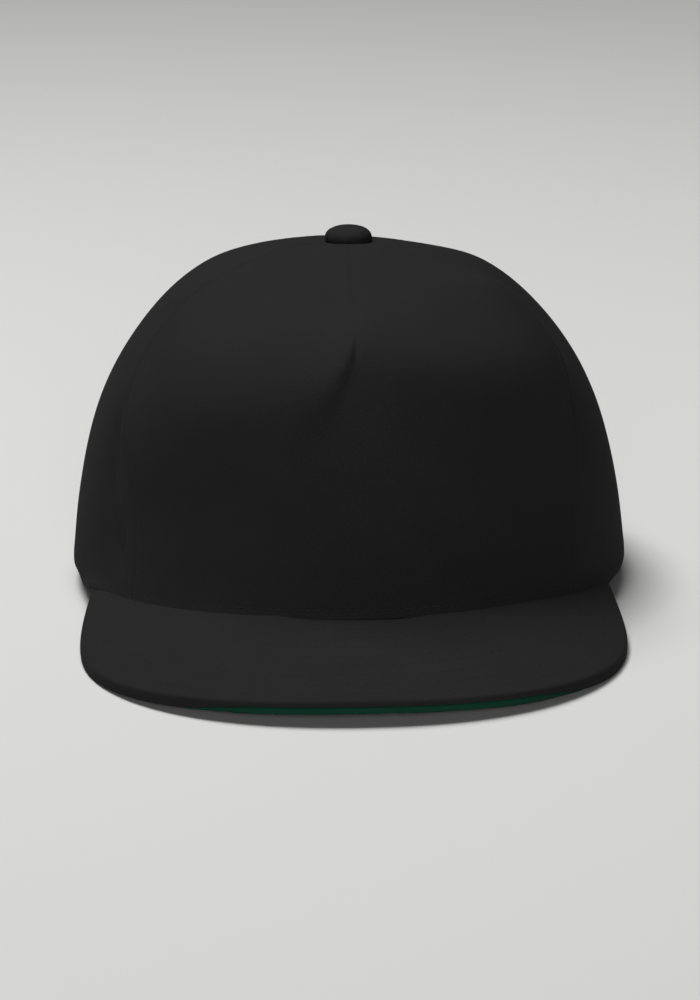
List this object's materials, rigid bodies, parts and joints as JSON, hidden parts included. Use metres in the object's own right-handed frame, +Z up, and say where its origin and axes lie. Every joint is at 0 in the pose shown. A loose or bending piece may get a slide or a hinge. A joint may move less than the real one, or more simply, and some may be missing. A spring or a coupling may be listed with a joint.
{
  "type": "flat bill cap",
  "caption": "Structured five-panel cap with a high front panel, covered button, slightly arched flat bill with a green underside, and a rear opening with a snap strap.",
  "frame": {"origin": "middle of the cap's length and width, on the surface that it rests on", "axes": "+Z up; the bill points to -Y and the rear strap to +Y; +X is the wearer's left side"},
  "size_m": [0.1778, 0.2738, 0.1123],
  "materials": {
    "black_twill": "matt black cotton twill with tone-on-tone stitching",
    "green_twill": "matt dark green cotton twill",
    "band_cloth": "matt black plain cotton",
    "strap_plastic": "satin black moulded plastic"
  },
  "bodies": {
    "root": {"front_panel": "black_twill", "side_panel_left": "black_twill", "side_panel_right": "black_twill", "back_panel_left": "black_twill", "back_panel_right": "black_twill", "button": "black_twill", "bill_top": "black_twill", "bill_underside": "green_twill", "sweatband": "band_cloth", "rear_strap": "strap_plastic"}
  },
  "joints": []
}
